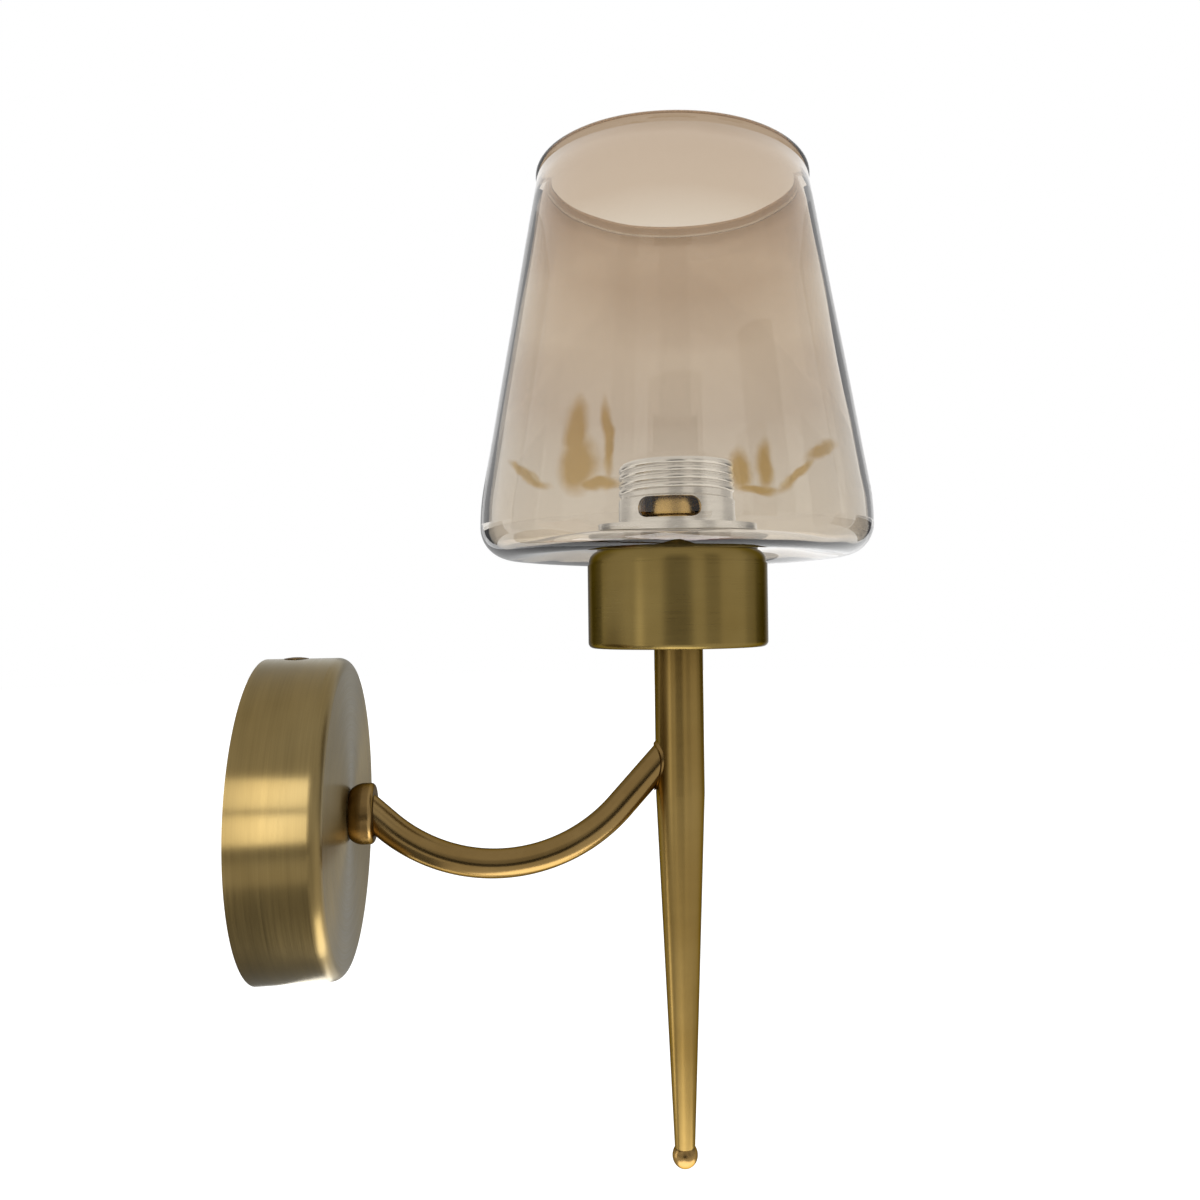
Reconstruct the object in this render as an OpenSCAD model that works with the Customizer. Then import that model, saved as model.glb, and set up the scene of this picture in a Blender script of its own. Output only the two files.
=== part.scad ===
// Torch sconce: a round backplate, one bent arm, a tapered stem and a glass shade that is open at the top.
// Origin: centre of the backplate's back edge, on the wall. +X points away from the wall, +Z points up.

/* [Wall bracket] */
// Thickness of the bracket's steel sheet
strap_t = 1.5; // [1:0.1:2]
// Width of the strap and of its end tabs
strap_w = 20; // [16:1:26]
// Reach of the end tabs from the wall
tab_l = 15; // [12:0.5:18]
// Distance between the centres of the two wall slots
slot_pitch = 60; // [50:1:66]
// Width of a wall slot
slot_w = 4.5; // [3.5:0.1:6]
// Length of a wall slot, end to end
slot_l = 12; // [8:0.5:16]
// Diameter of the hole that the house wiring comes through
cable_hole_d = 14; // [8:1:16]
// Height of the earth screw below the middle of the strap
earth_drop = 16; // [14:0.5:18]

/* [Backplate] */
// Outside diameter of the backplate
plate_d = 100; // [96:1:140]
// Depth of the backplate, from the wall to its face
plate_depth = 25; // [23:0.5:34]
// Thickness of the backplate's metal
plate_wall = 1.2; // [0.8:0.1:1.6]
// Radius of the backplate's front edge
plate_edge_r = 3.5; // [2:0.5:8]
// Distance of the two rim screws from the wall
rim_screw_x = 9; // [7:0.5:10]
// Thread diameter of the rim screws and of the earth screw
small_screw_d = 4; // [3:0.5:4]
// Head diameter of the rim screws and of the earth screw
small_head_d = 7.4; // [6:0.2:8]
// Height of a rim screw's low domed head
small_head_h = 0.5; // [0.4:0.1:2]

/* [Arm] */
// Outside diameter of the arm tube
arm_d = 9.6; // [9:0.1:12]
// Wall of the arm tube
arm_wall = 1; // [0.6:0.1:1.2]
// Radius of the arm's bend, to the middle of the tube
bend_r = 53.2; // [46:0.2:56]
// Slope of the arm's straight end up to the stem, in degrees. The tube is bent through a right angle
rise_a = 47.2; // [42:0.1:50]
// Length of the arm's straight start, from the collar's axis to the bend
lead_in_l = 5.8; // [4:0.2:10]
// Diameter of the round collar between backplate and arm
collar_d = 19.4; // [18:0.2:24]
// Width of the collar
collar_w = 7.3; // [7:0.1:12]
// Radius of the collar's swelling back half
collar_back_r = 5.6; // [5:0.1:9]
// Length of that swelling back half
collar_back_l = 4; // [2:0.1:4.4]
// Rounding of the collar's front edge
collar_edge_r = 1.3; // [0.5:0.1:2.5]
// Gap between the backplate's face and the swelling part of the collar
collar_neck = 0.3; // [0.2:0.1:1.5]
// Width of the brazed seam that joins the arm to the stem
braze_w = 0.6; // [0.5:0.1:2]

/* [Stem] */
// Distance of the stem's axis from the wall
stem_x = 132; // [126:0.5:150]
// Diameter of the straight upper stem
stem_d = 16.5; // [15:0.5:20]
// Wall of the stem
stem_wall = 1; // [0.8:0.1:1.4]
// Height of the stem's top above the middle of the backplate
stem_top = 51.6; // [44:0.2:70]
// Height where the taper starts
taper_top = 2.6; // [-20:0.2:5]
// Height of the stem's lower end
stem_bottom = -116; // [-150:1:-80]
// Diameter of the stem's lower end
stem_end_d = 6.9; // [6:0.1:12]
// Diameter of the ball at the stem's lower end
ball_d = 8.6; // [8:0.2:16]

/* [Cup] */
// Outside diameter of the cup below the shade
cup_d = 60.4; // [56:0.2:70]
// Height of the cup up to its seam
cup_h = 27.6; // [26:0.2:36]
// Thickness of the cup's metal and of its lid's
cup_wall = 1.2; // [0.8:0.1:1.6]
// Radius of the cup's lower edge
cup_edge_r = 1.8; // [1.8:0.1:4]
// Height of the lid above the seam
lid_h = 4.8; // [4.5:0.1:8]
// Radius of the lid's upper edge
lid_edge_r = 4; // [2:0.1:4.4]
// How far the lid's side stands in from the cup's
lid_step = 0.4; // [0.2:0.1:1]

/* [Lampholder] */
// Outside diameter of the lampholder's threaded barrel
barrel_d = 39.2; // [38:0.2:40]
// Wall of the barrel
barrel_wall = 1.2; // [0.8:0.1:1.4]
// Height of the barrel above the lid
barrel_rise = 28.6; // [27:0.2:36]
// Height of the windows in the barrel
window_h = 7; // [4:0.2:8]
// Width of the windows in the barrel
window_w = 20.6; // [10:0.2:22]
// Middle of the windows, measured down from the barrel's top
window_drop = 15.9; // [15:0.1:16.5]
// Turn of the first window from the -Y side towards the wall, in degrees
window_turn = 17; // [0:1:60]
// Number of windows
windows = 3; // [2:1:4]
// Bore of the screw shell that takes the lamp's cap
socket_d = 26.6; // [26.4:0.1:27]
// Length of the screw shell
shell_l = 17; // [15:0.5:18]
// Thickness of the screw shell's brass
shell_wall = 0.6; // [0.4:0.1:0.7]
// Height of the centre contact's tip above the insulator
contact_rise = 3.6; // [3:0.1:4]

/* [Shade] */
// Outside diameter of the glass at its widest
shade_d = 130.3; // [116:0.1:150]
// Height of the glass rim above the middle of the backplate
rim_z = 210; // [180:1:230]
// Slope of the glass side from upright, in degrees
shade_a = 10.2; // [6:0.1:12]
// Wall of the glass
glass_t = 2.4; // [2:0.1:3.4]
// Radius of the round lower corner of the glass
corner_r = 10; // [8:0.5:14]
// Radius of the long curve that leads from the corner into the straight side
shoulder_r = 76; // [30:1:100]
// How far the foot ring of the glass hangs below its flat middle
foot_drop = 3.3; // [1:0.1:4]
// Radius of the flat middle of the glass, where it is clamped
flat_r = 31; // [29:0.5:34]
// Height of the rounded bead at the rim
bead_h = 3.8; // [2:0.1:6]
// How far the bead stands out from the side of the glass
bead_out = 1; // [0.4:0.1:1.6]
// Radial width of the bead
bead_w = 4.2; // [3.4:0.1:5]
// Diameter of the ring nut that clamps the glass
ring_d = 53.4; // [48:0.2:56]
// Height of the ring nut
ring_h = 3.3; // [2:0.1:5]
// Thickness of the two soft washers above and below the glass
gasket_t = 0.6; // [0.4:0.1:1.2]

/* [Wiring] */
// Outside diameter of the threaded nipples that join arm, stem and cup
nipple_d = 10; // [10:0.5:10.5]
// Bore of the nipples
nipple_bore = 8; // [7:0.5:8]
// Width across the flats of the nipple nuts
nut_af = 14; // [13:0.5:16]
// Height of the nipple nuts
nut_h = 3.5; // [2.5:0.1:4]
// Outside diameter of an insulated lead
lead_d = 2; // [1.6:0.1:2.2]
// Distance of each lead from the middle of the tube
lead_y = 1.3; // [1.15:0.05:1.5]

/* [Hidden] */

$fn = 96;
over = 1;                 // how far a cutting shape runs past what it cuts
thread_gap = 0.05;        // radial gap between a screw thread and its hole
clear_hole = 0.2;         // radial gap between a thread and a hole that it only passes through
notch_gap = 0.3;          // gap on each side of a rim screw in its notch
seat_gap = 0.05;          // gap between a part and the curved wall behind it
slide_gap = 0.5;          // gap between parts that slide past each other
turn_gap = 0.1;           // radial gap between the ring nut and the barrel
pass_gap = 0.8;           // radial gap between the barrel and what is dropped over it
lead_gap = 0.3;           // radial gap between a lead and the hole it runs in
shell_gap = 0.2;          // radial gap round the screw shell
spigot_gap = 0.3;         // radial gap between the lid's spigot and the cup

brass = "#8c6f3c";
pale_brass = "#a5854a";
contact_brass = "#b9974f";
steel = "#b8bcc0";
white = "#ececea";
glass_tint = [0.72, 0.62, 0.5, 0.5];
rubber = "#d8d4cc";

// Backplate and bracket
plate_r = plate_d / 2;
plate_in_r = plate_r - plate_wall;
plate_in_x = plate_depth - plate_wall;
rim_nut_af = 1.75 * small_screw_d;
rim_nut_h = 0.6 * small_screw_d;
small_rim_h = 0.1;        // height of the straight rim of a rim screw's domed head
rim_nut_top = sqrt(pow(plate_in_r, 2) - pow(rim_nut_af / sqrt(3), 2)) - seat_gap;
tab_z = rim_nut_top - rim_nut_h - slide_gap;
notch_w = small_screw_d + 2 * notch_gap;
screw_past_tab = 1;
rim_screw_tip = tab_z - strap_t - screw_past_tab;
small_dome_h = small_head_h - small_rim_h;
small_dome_r = (pow(small_head_d / 2, 2) + pow(small_dome_h, 2)) / (2 * small_dome_h);
earth_boss_h = 2;
earth_boss_d = small_screw_d + 3;
earth_head_h = 2;
earth_tip_x = 0.2;
slot_depth = 1;           // depth of a driver slot in a screw head
driver_slot_w = 1;
small_slot_w = 0.6;

// Arm
arm_r = arm_d / 2;
arm_bore = arm_d - 2 * arm_wall;
collar_x = plate_depth + collar_neck;
collar_r = collar_d / 2;
collar_neck_r = nipple_d / 2 + 1.5;
nipple_in_collar = 3.6;
bend_turn = 90;
lead_in_a = bend_turn - rise_a;   // slope of the arm's straight start, down from the collar
arm_inset = 1.4;          // how deep the arm's slanting end sits in the collar
arm_back = 0.6;           // the arm's middle crosses the collar's axis this far behind the collar's face
arm_cut_x = collar_x + collar_w - arm_inset;
arm_x0 = collar_x + collar_w - arm_back;
bend_x = arm_x0 + lead_in_l * cos(lead_in_a) + bend_r * sin(lead_in_a);
bend_z = bend_r * cos(lead_in_a) - lead_in_l * sin(lead_in_a);
bend_end_x = bend_x + bend_r * sin(rise_a);
bend_end_z = bend_z - bend_r * cos(rise_a);
rise_l = (stem_x - bend_end_x) / cos(rise_a);
joint_z = bend_end_z + (stem_x - bend_end_x) * tan(rise_a);
nipple_x1 = collar_x + nipple_in_collar;
washer_t = 0.8;
nut_x1 = plate_in_x - washer_t;
nut_x0 = nut_x1 - nut_h;
thread_past_nut = 0.8;
nipple_x0 = nut_x0 - thread_past_nut;
washer_d = nut_af + 1.5;

// Stem
stem_r = stem_d / 2;
stem_end_r = stem_end_d / 2;
plug_h = 6;
ball_flat_r = stem_end_r - 0.4;
ball_z = stem_bottom - sqrt(pow(ball_d / 2, 2) - pow(ball_flat_r, 2));
peg_l = 6;
peg_r = stem_end_r - stem_wall - thread_gap;

// Cup, lid and what is clamped in them
cup_r = cup_d / 2;
cup_in_r = cup_r - cup_wall;
seam_z = stem_top + cup_h;
lid_r = cup_r - lid_step;
lid_z = seam_z + lid_h;
spigot_h = 4.5;
spigot_r = cup_in_r - spigot_gap;
cup_washer_t = 1;
cup_washer_d = 20;
cup_nut_z = stem_top + cup_wall + cup_washer_t;
holder_gap = 0.5;         // gap between the cup's nut and the lampholder
nipple_in_holder = 3.4;
holder_z = cup_nut_z + nut_h + holder_gap;
nipple_top = holder_z + nipple_in_holder;
nipple_low = stem_top - plug_h;

// Lampholder
barrel_r = barrel_d / 2;
barrel_in_r = barrel_r - barrel_wall;
barrel_top = lid_z + barrel_rise;
flange_gap = 0.2;         // gap between the barrel's flange and the lid
flange_h = 2;
flange_w = 1.8;
flange_z = lid_z - cup_wall - flange_gap;
flange_r = barrel_r + flange_w;
barrel_z = flange_z - flange_h;
hole_r = barrel_r + pass_gap;
core_lift = 8.8;          // space for the leads between the nipple and the insulator
core_drop = 22.6;
core_z = nipple_top + core_lift;
core_top = barrel_top - core_drop;
core_r = barrel_in_r - lead_gap;
base_wall = 1.5;
base_rim = 0.9;
base_thread_r = nipple_d / 2 + thread_gap;
base_boss_r = 8;
base_boss_h = 1.5;
base_cavity_r = 13;
base_floor_r = 9;
base_floor_t = 1.4;
base_dome_h = 9;
base_r = barrel_r + base_rim;
base_dome_z = holder_z + base_dome_h;
socket_r = socket_d / 2;
shell_r = socket_r + shell_wall;
shell_step = 1;
shell_foot_rise = 1.8;
shell_foot_h = contact_rise + shell_foot_rise;
shell_flange_r = 9.6;
shell_top = core_top + shell_l;
shell_in_mouth = 4.6;
lip_t = 1;
lip_w = 1.4;
mouth_z = shell_top - shell_in_mouth;
mouth_top = barrel_top - lip_t;
mouth_r = barrel_in_r - lead_gap;
mouth_bore_r = socket_r + shell_gap + seat_gap;
lip_r = barrel_in_r - lip_w;
window_z = barrel_top - window_drop;
holder_lead_y = 8;
lead_in_core = 7;
screw_in_core = 5;
holder_lead_top = core_z + lead_in_core;
holder_screw_z = core_z + screw_in_core;
holder_screw_d = 3;
holder_head_d = 5.4;
holder_head_h = 1.8;
holder_head_inset = 4;    // how deep a clamping screw's head seat lies in the insulator's side
clamp_gap = 0.1;          // gap between a clamping screw's tip and the lead
contact_w = 5;
contact_t = 0.6;
contact_x = 7;
side_inset = 1.2;         // depth of the side strip in its groove
side_foot = 4;            // height of the side strip's foot above the clamping screw
pivot_lift = 0.9;
contact_pivot_z = core_top + pivot_lift;
contact_tip = 2.5;        // half length of the tongue's level tip
contact_stud_h = 0.9;

// Terminal block
block_t = 7;
tower_h = 2.6;
block_gap = 0.4;          // gap between the block's screw towers and the strap
block_x = strap_t + block_gap + tower_h + block_t / 2;
block_z = 14;
block_l = 16;
way_pitch = 8;
insert_d = 4.4;
insert_bore = 2.8;
insert_inset = 1.5;
tower_d = 6;
block_screw_d = 2.5;
block_screw_inset = 4;
block_lead_top = block_z + 7;

// Leads
lead_bend_r = 8;
lead_low_r = 4;
stem_bend_r = 12;
jog_r = 3;
jog_a = 50;

// Shade
glass_z = lid_z + gasket_t;
glass_top = glass_z + glass_t;
foot_z = glass_z - foot_drop;
shade_r = shade_d / 2;
corner_cr = shade_r - corner_r;
corner_cz = foot_z + corner_r;
side_r0 = shade_r - shoulder_r * (1 - cos(shade_a));
side_z0 = corner_cz + shoulder_r * sin(shade_a);
rim_r = side_r0 - (rim_z - side_z0) * tan(shade_a);
ring_z = glass_top + gasket_t;
gasket_r = 27;

// Points along an arc in a plane: centre, radius, first and last angle, number of steps
function arc(cx, cy, r, a0, a1, n) = [
    for (i = [0 : n])
        let (a = a0 + (a1 - a0) * i / n)
        [cx + r * cos(a), cy + r * sin(a)]
];

// Points along a smooth rise from (r0, z0) to (r1, z1), level at both ends
function swell(r0, z0, r1, z1, n) = [
    for (i = [0 : n])
        let (t = i / n)
        [r0 + (r1 - r0) * t, z0 + (z1 - z0) * (3 * t * t - 2 * t * t * t)]
];

// Half outline of a round block of radius r and height h whose upper edge is rounded by e
module round_edge(r, h, e) {
    square([r - e, h]);
    square([r, h - e]);
    intersection() {
        translate([r - e, h - e]) circle(e);
        square([r, h]);
    }
}

// Half outline of a thin cap of that shape, open below
module cap_outline(r, h, e, wall) {
    difference() {
        round_edge(r, h, e);
        translate([0, -over]) round_edge(r - wall, h - wall + over, max(e - wall, 0.3));
    }
}

// A shape that is drawn upright, laid down so that its axis points away from the wall
module along_x(x) {
    translate([x, 0, 0]) rotate([0, 90, 0]) children();
}

// A flat outline swept along the arm: its straight start, its bend, and its straight end up to the stem's axis.
// All are laid out from the point where the bend ends. The start is cut off upright at cut_x, in the collar
module along_arm(cut_x) {
    start_l = lead_in_l + arm_d;
    reach = 2 * arm_d;
    difference() {
        translate([bend_end_x, 0, bend_end_z]) rotate([0, -rise_a, 0]) {
            translate([0, 0, bend_r]) rotate([-90, 0, 0]) rotate([0, 0, 90]) {
                rotate_extrude(angle = bend_turn) translate([bend_r, 0]) children();
                rotate([0, 0, bend_turn]) translate([bend_r, start_l, 0]) rotate([90, 0, 0])
                    linear_extrude(start_l) children();
            }
            rotate([0, 90, 0]) linear_extrude(rise_l) children();
        }
        translate([cut_x - 2 * reach, -reach, -reach]) cube([2 * reach, 2 * reach, 3 * reach]);
    }
}

module ring(r_out, r_in, h) {
    difference() {
        cylinder(r = r_out, h = h);
        translate([0, 0, -over]) cylinder(r = r_in, h = h + 2 * over);
    }
}

module hex_nut(af, h, bore) {
    difference() {
        cylinder(d = af * 2 / sqrt(3), h = h, $fn = 6);
        translate([0, 0, -over]) cylinder(d = bore, h = h + 2 * over);
    }
}

// Both ends of the bracket, or both sides of the rim
module top_and_bottom() {
    children();
    mirror([0, 0, 1]) children();
}

module both_sides() {
    children();
    mirror([0, 1, 0]) children();
}

module at_stem(z) {
    translate([stem_x, 0, z]) children();
}

module wall_bracket() color(steel) {
    difference() {
        union() {
            translate([0, -strap_w / 2, -tab_z]) cube([strap_t, strap_w, 2 * tab_z]);
            top_and_bottom()
                translate([0, -strap_w / 2, tab_z - strap_t]) cube([tab_l, strap_w, strap_t]);
            translate([0, 0, -earth_drop]) along_x(0) cylinder(d = earth_boss_d, h = strap_t + earth_boss_h);
        }
        along_x(-over) cylinder(d = cable_hole_d, h = strap_t + 2 * over);
        top_and_bottom() wall_slot();
        top_and_bottom() tab_notch();
        translate([-over, 0, -earth_drop]) rotate([0, 90, 0])
            cylinder(r = small_screw_d / 2 + thread_gap, h = strap_t + earth_boss_h + 2 * over);
    }
}

// Slot for a wall screw, along the strap
module wall_slot() {
    straight = slot_l - slot_w;
    translate([-over, -slot_w / 2, (slot_pitch - straight) / 2]) cube([strap_t + 2 * over, slot_w, straight]);
    for (s = [-1, 1])
        translate([0, 0, (slot_pitch + s * straight) / 2])
            along_x(-over) cylinder(d = slot_w, h = strap_t + 2 * over);
}

// Notch in a tab, open at the front, that a rim screw slides into
module tab_notch() {
    translate([rim_screw_x, -notch_w / 2, tab_z - strap_t - over]) cube([tab_l, notch_w, strap_t + 2 * over]);
    translate([rim_screw_x, 0, tab_z - strap_t - over]) cylinder(d = notch_w, h = strap_t + 2 * over);
}

module earth_screw() color(pale_brass) {
    translate([0, 0, -earth_drop]) {
        along_x(earth_tip_x) cylinder(d = small_screw_d, h = strap_t + earth_boss_h);
        difference() {
            along_x(strap_t + earth_boss_h) cylinder(d = small_head_d, h = earth_head_h);
            translate([strap_t + earth_boss_h + earth_head_h - slot_depth, -small_head_d, -driver_slot_w / 2])
                cube([earth_head_h, 2 * small_head_d, driver_slot_w]);
        }
    }
}

module backplate() color(brass) {
    difference() {
        along_x(0) rotate_extrude() cap_outline(plate_r, plate_depth, plate_edge_r, plate_wall);
        along_x(plate_in_x - over) cylinder(r = nipple_d / 2 + clear_hole, h = plate_wall + 2 * over);
        top_and_bottom()
            translate([rim_screw_x, 0, rim_nut_top])
                cylinder(r = small_screw_d / 2 + clear_hole, h = plate_r - rim_nut_top + over);
    }
}

// Weld nuts inside the rim, one above and one below
module rim_nuts() color(steel) {
    top_and_bottom()
        translate([rim_screw_x, 0, rim_nut_top - rim_nut_h])
            hex_nut(rim_nut_af, rim_nut_h, small_screw_d + 2 * thread_gap);
}

module rim_screws() color(pale_brass) {
    top_and_bottom()
        translate([rim_screw_x, 0, 0]) {
            translate([0, 0, rim_screw_tip]) cylinder(d = small_screw_d, h = plate_r - rim_screw_tip);
            difference() {
                intersection() {
                    translate([0, 0, plate_r]) cylinder(d = small_head_d, h = small_head_h);
                    translate([0, 0, plate_r + small_head_h - small_dome_r]) sphere(small_dome_r);
                }
                translate([-small_head_d, -driver_slot_w / 2, plate_r + small_head_h / 2])
                    cube([2 * small_head_d, driver_slot_w, small_head_h]);
            }
        }
}

// Turned collar with a neck against the backplate, a bore for the nipple and a slanting socket for the arm
module arm_collar() color(pale_brass) {
    difference() {
        along_x(plate_depth) rotate_extrude() {
            square([collar_neck_r, collar_neck + collar_back_l]);
            translate([0, collar_neck]) intersection() {
                square([collar_r, collar_back_l]);
                translate([collar_r - collar_back_r, collar_back_l]) circle(collar_back_r);
            }
            translate([0, collar_neck + collar_back_l])
                round_edge(collar_r, collar_w - collar_back_l, collar_edge_r);
        }
        along_x(plate_depth - over)
            cylinder(r = nipple_d / 2 + thread_gap, h = nipple_x1 + seat_gap - plate_depth + over);
        along_x(plate_depth) cylinder(d = nipple_bore, h = collar_neck + collar_w);
        along_arm(arm_cut_x - seat_gap) circle(d = arm_d + 2 * seat_gap);
    }
}

module arm_nipple() color(steel) {
    along_x(nipple_x0) ring(nipple_d / 2, nipple_bore / 2, nipple_x1 - nipple_x0);
}

module lock_washer() color(steel) {
    teeth = 12;
    along_x(nut_x1) difference() {
        ring(washer_d / 2, nipple_d / 2 + clear_hole, washer_t);
        for (i = [0 : teeth - 1])
            rotate([0, 0, i * 360 / teeth]) translate([washer_d / 2 - 1.6, -0.6, -over])
                cube([2 * over + 1, 1.2, washer_t + 2 * over]);
    }
}

module nipple_nut() color(steel) {
    along_x(nut_x0) hex_nut(nut_af, nut_h, nipple_d + 2 * thread_gap);
}

// Places of the block's two ways
module each_way() {
    for (s = [-1, 1])
        translate([block_x, s * way_pitch / 2, block_z]) children();
}

// Places of the block's clamping screws, turned to face the wall
module each_block_screw() {
    each_way()
        for (z = [block_screw_inset, block_l - block_screw_inset])
            translate([0, 0, z]) rotate([0, -90, 0]) children();
}

module terminal_block() color(white) {
    difference() {
        union() {
            translate([block_x - block_t / 2, -way_pitch, block_z]) cube([block_t, 2 * way_pitch, block_l]);
            each_block_screw() cylinder(d = tower_d, h = block_t / 2 + tower_h);
        }
        each_way() translate([0, 0, -over])
            cylinder(r = insert_d / 2 + seat_gap, h = block_l + 2 * over);
        each_block_screw() cylinder(d = block_screw_d + 0.8, h = block_t + tower_h);
        translate([block_x - block_t, -0.6, block_z - over]) cube([block_t, 1.2, block_l + 2 * over]);
    }
}

module terminal_inserts() color(contact_brass) {
    difference() {
        each_way() translate([0, 0, insert_inset])
            ring(insert_d / 2, insert_bore / 2, block_l - 2 * insert_inset);
        each_block_screw() cylinder(d = block_screw_d + 2 * thread_gap, h = insert_d);
    }
}

module terminal_screws() color(steel) {
    tip = lead_d / 2 + clamp_gap;
    head = block_t / 2 + tower_h - slot_depth;
    each_block_screw() difference() {
        translate([0, 0, tip]) cylinder(d = block_screw_d, h = head - tip);
        translate([-block_screw_d, -small_slot_w / 2, head - slot_depth])
            cube([2 * block_screw_d, small_slot_w, 2 * slot_depth]);
    }
}

// Straight part and height of a lead's sideways jog, for a given shift
function jog_run(shift) = (shift - 2 * jog_r * (1 - cos(jog_a))) / sin(jog_a);
function jog_height(shift) = 2 * jog_r * sin(jog_a) + jog_run(shift) * cos(jog_a);

// Points of such a jog: it starts upright at z0 and y0, and moves along +Y as it rises
function jog(x, y0, z0, shift) = concat(
    [for (p = arc(y0 + jog_r, z0, jog_r, 180, 180 - jog_a, 4)) [x, p[0], p[1]]],
    [for (p = arc(y0 + shift - jog_r, z0 + jog_height(shift), jog_r, -jog_a, 0, 4)) [x, p[0], p[1]]]
);

// Route of one lead on the +Y side: from the terminal block, through the arm, to the lampholder
function lead_route() =
    let (
        low_x = arm_x0 - lead_bend_r * tan(lead_in_a / 2),
        turn = 90 - rise_a,
        trim = stem_bend_r * tan(turn / 2),
        block_jog = way_pitch / 2 - lead_y,
        holder_jog = holder_lead_y - lead_y,
        jog_z = block_z - 1 - jog_height(block_jog),
        in_arm = concat(
            arc(block_x + lead_low_r, lead_low_r, lead_low_r, 180, 270, 5),
            arc(low_x, -lead_bend_r, lead_bend_r, 90, 90 - lead_in_a, 4),
            arc(bend_x, bend_z, bend_r, -90 - lead_in_a, rise_a - 90, 13),
            arc(stem_x - stem_bend_r, joint_z + trim, stem_bend_r, rise_a - 90, 0, 4)
        )
    )
    concat(
        [[block_x, way_pitch / 2, block_lead_top]],
        reversed(jog(block_x, lead_y, jog_z, block_jog)),
        [for (p = in_arm) [p[0], lead_y, p[1]]],
        jog(stem_x, lead_y, nipple_top, holder_jog),
        [[stem_x, holder_lead_y, holder_lead_top]]
    );

function reversed(list) = [for (i = [len(list) - 1 : -1 : 0]) list[i]];

// Direction of the route at its point number i
function heading(route, i) =
    let (d = route[min(i + 1, len(route) - 1)] - route[max(i - 1, 0)])
    d / norm(d);

// A round tube of diameter d that follows a route
module lead(route, d) {
    sides = 8;
    rings = len(route);
    points = [
        for (i = [0 : rings - 1])
            let (t = heading(route, i), c = cross(t, [0, 1, 0]), u = c / norm(c), v = cross(t, u))
            for (k = [0 : sides - 1])
                route[i] + d / 2 * (u * cos(k * 360 / sides) + v * sin(k * 360 / sides))
    ];
    walls = [
        for (i = [0 : rings - 2], k = [0 : sides - 1])
            let (a = i * sides + k, b = i * sides + (k + 1) % sides)
            [[a, b, b + sides], [a, b + sides, a + sides]]
    ];
    polyhedron(points, concat(
        [for (w = walls) w[0]],
        [for (w = walls) w[1]],
        [[for (k = [sides - 1 : -1 : 0]) k]],
        [[for (k = [0 : sides - 1]) (rings - 1) * sides + k]]
    ));
}

module live_lead() color("#7a4a26") mirror([0, 1, 0]) lead(lead_route(), lead_d);

module neutral_lead() color("#3f6fa8") lead(lead_route(), lead_d);

module stem_body(wider) {
    at_stem(stem_bottom) cylinder(r = stem_r + wider, h = stem_top - stem_bottom);
}

// Bent tube whose upper end is cut to the round of the stem
module arm_tube() color(brass) {
    difference() {
        along_arm(arm_cut_x) difference() {
            circle(d = arm_d);
            circle(d = arm_bore);
        }
        stem_body(0);
    }
}

// Ring of braze where the arm meets the stem: it hugs the stem and runs round the arm
module braze_seam() color(pale_brass) {
    difference() {
        intersection() {
            along_arm(arm_cut_x) circle(r = arm_r + braze_w);
            stem_body(braze_w);
        }
        along_arm(arm_cut_x) circle(d = arm_d);
        stem_body(0);
    }
}

module stem_tube() color(brass) {
    difference() {
        at_stem(0) rotate_extrude() polygon([
            [stem_end_r - stem_wall, stem_bottom],
            [stem_end_r, stem_bottom],
            [stem_r, taper_top],
            [stem_r, stem_top],
            [stem_r - stem_wall, stem_top],
            [stem_r - stem_wall, taper_top]
        ]);
        along_arm(arm_cut_x) circle(d = arm_bore);
    }
}

// Threaded plug brazed into the top of the stem
module stem_plug() color(pale_brass) {
    at_stem(nipple_low) ring(stem_r - stem_wall - seat_gap, nipple_d / 2 + thread_gap, plug_h);
}

// Ball with a flat that seats on the stem's end and a peg that is pressed into it
module finial_ball() color(pale_brass) {
    at_stem(0) {
        difference() {
            translate([0, 0, ball_z]) sphere(d = ball_d);
            translate([0, 0, stem_bottom]) cylinder(d = ball_d, h = ball_d);
        }
        translate([0, 0, ball_z]) cylinder(r = peg_r, h = stem_bottom + peg_l - ball_z);
    }
}

module stem_nipple() color(steel) {
    at_stem(nipple_low) ring(nipple_d / 2, nipple_bore / 2, nipple_top - nipple_low);
}

module holder_cup() color(brass) {
    difference() {
        at_stem(seam_z) mirror([0, 0, 1]) rotate_extrude() cap_outline(cup_r, cup_h, cup_edge_r, cup_wall);
        at_stem(stem_top - over) cylinder(r = nipple_d / 2 + clear_hole, h = cup_wall + 2 * over);
    }
}

module cup_washer() color(steel) {
    at_stem(stem_top + cup_wall) ring(cup_washer_d / 2, nipple_d / 2 + clear_hole, cup_washer_t);
}

module cup_nut() color(steel) {
    at_stem(cup_nut_z) hex_nut(nut_af, nut_h, nipple_d + 2 * thread_gap);
}

// Lid with a spigot that drops into the cup and a hole for the barrel
module cup_lid() color(brass) {
    at_stem(seam_z) difference() {
        union() {
            rotate_extrude() cap_outline(lid_r, lid_h, lid_edge_r, cup_wall);
            translate([0, 0, -spigot_h]) ring(spigot_r, spigot_r - cup_wall, spigot_h + 1);
        }
        cylinder(r = barrel_r + slide_gap, h = lid_h + over);
    }
}

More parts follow.
